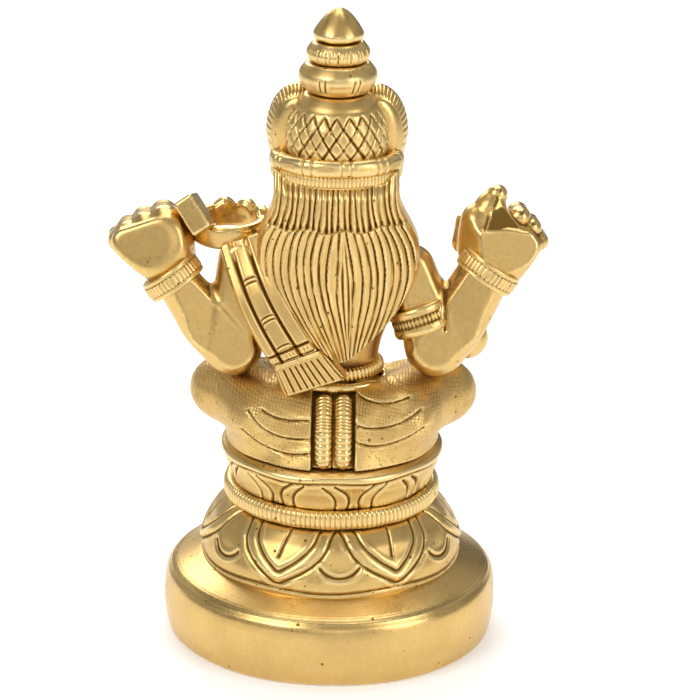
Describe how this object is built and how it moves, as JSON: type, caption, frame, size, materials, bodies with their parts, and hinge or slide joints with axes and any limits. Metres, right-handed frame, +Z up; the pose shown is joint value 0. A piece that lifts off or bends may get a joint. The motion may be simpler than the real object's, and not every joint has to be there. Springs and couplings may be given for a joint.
{
  "type": "ganesha idol",
  "caption": "Seated four-armed deity figure in polished brass on a round plinth with a double lotus seat, with a tiered crown, long hair and a shoulder sash.",
  "frame": {"origin": "centre of the round plinth's flat underside, at the surface the idol stands on", "axes": "+Z up along the plinth's axis; the figure faces -Y, its left side is +X, and its back and long hair face +Y"},
  "size_m": [0.0848, 0.066, 0.1268],
  "materials": {
    "polished_brass": "hand-polished cast brass with small casting pits",
    "engraved_brass": "chased brass, polished on the ridges and dark in the cuts",
    "textured_brass": "brass matted all over with rows of punch marks"
  },
  "bodies": {
    "root": {"base_plinth": "polished_brass", "lower_lotus": "engraved_brass", "rope_ring": "engraved_brass", "upper_lotus": "engraved_brass", "torso": "polished_brass", "waist_band": "polished_brass", "girdle_roll": "engraved_brass", "girdle_cord_left": "engraved_brass", "girdle_cord_right": "engraved_brass", "left_foot": "polished_brass", "right_foot": "polished_brass", "left_leg": "textured_brass", "right_leg": "textured_brass", "head": "polished_brass", "trunk": "polished_brass", "left_tusk": "polished_brass", "right_tusk": "polished_brass", "crown_dome": "engraved_brass", "crown_ring_lower": "engraved_brass", "crown_ring_upper": "engraved_brass", "crown_finial": "polished_brass", "crown_band": "engraved_brass", "nape_band": "engraved_brass", "left_ear": "polished_brass", "right_ear": "polished_brass", "left_rear_arm": "polished_brass", "right_rear_arm": "polished_brass", "left_front_arm": "polished_brass", "right_front_arm": "polished_brass", "left_rear_bracelet": "engraved_brass", "right_rear_bracelet": "engraved_brass", "left_front_bracelet": "engraved_brass", "right_front_bracelet": "engraved_brass", "right_armlet": "engraved_brass", "emblem_handle": "polished_brass", "left_rear_hand": "polished_brass", "right_rear_hand": "polished_brass", "left_front_hand": "polished_brass", "right_front_hand": "polished_brass", "noose": "engraved_brass", "sweet_bowl": "polished_brass", "sweets": "polished_brass", "shoulder_sash": "engraved_brass", "sash_fringe": "engraved_brass", "hair": "engraved_brass"}
  },
  "joints": []
}
